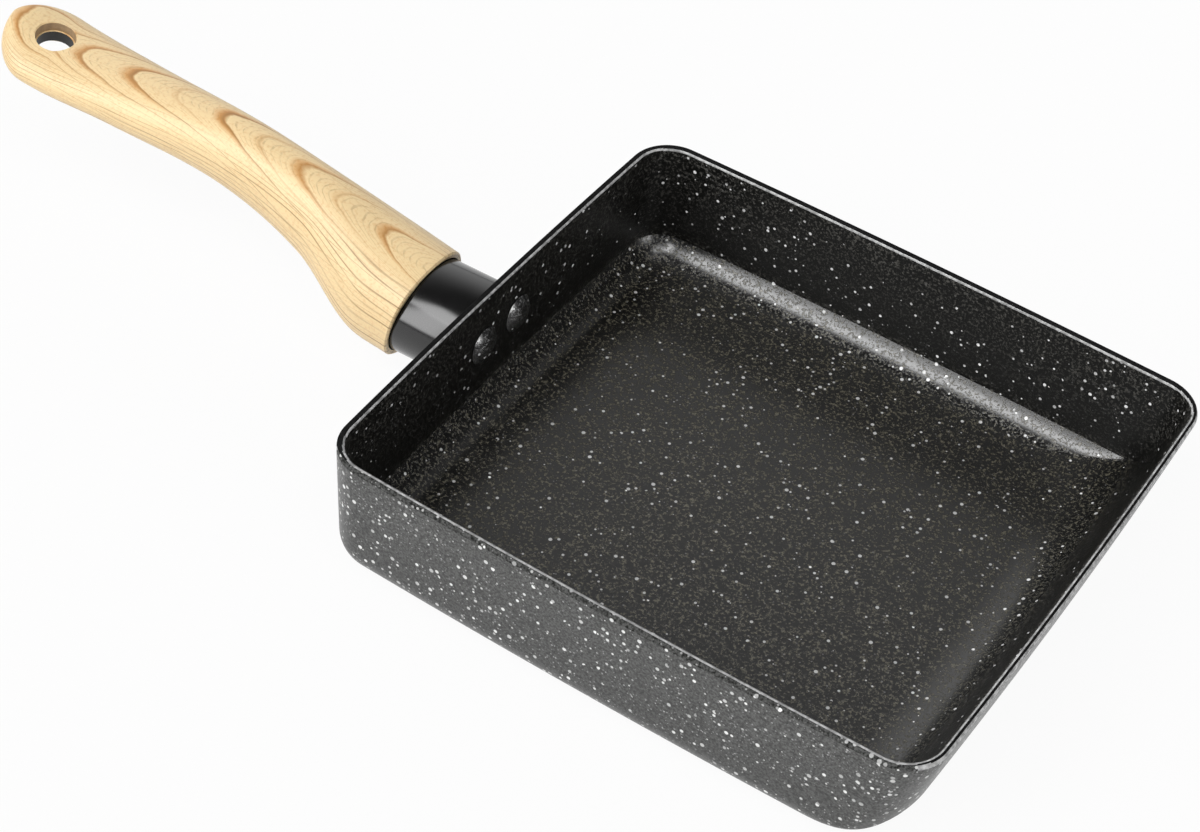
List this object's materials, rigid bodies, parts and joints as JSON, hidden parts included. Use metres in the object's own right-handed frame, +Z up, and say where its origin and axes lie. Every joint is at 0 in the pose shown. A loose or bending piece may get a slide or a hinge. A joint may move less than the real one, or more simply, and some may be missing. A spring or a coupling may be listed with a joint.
{
  "type": "omelette pan",
  "caption": "Rectangular omelette pan with steep speckled walls, a sloped far wall and an arched wood-look handle with a hanging hole, riveted on through a black ferrule.",
  "frame": {"origin": "middle of the rim's plan, on the plane of the flat base", "axes": "+X away from the handle to the sloped far wall, +Z up, handle along -X"},
  "size_m": [0.356, 0.1658, 0.0528],
  "materials": {
    "speckled_coating": "dark grey non-stick coating with pale specks, satin",
    "coated_rivet": "black non-stick coating with small pale specks",
    "steel": "zinc plated, dull",
    "black_enamel": "gloss black",
    "wood_look": "pale wood-grain film under satin lacquer on a dark moulding"
  },
  "bodies": {
    "root": {"pan_body": "speckled_coating", "rivet_near": "coated_rivet", "rivet_back": "coated_rivet", "handle_bracket": "steel", "ferrule": "black_enamel", "handle_grip": "wood_look", "handle_screw": "steel", "spring_washer": "steel"}
  },
  "joints": []
}
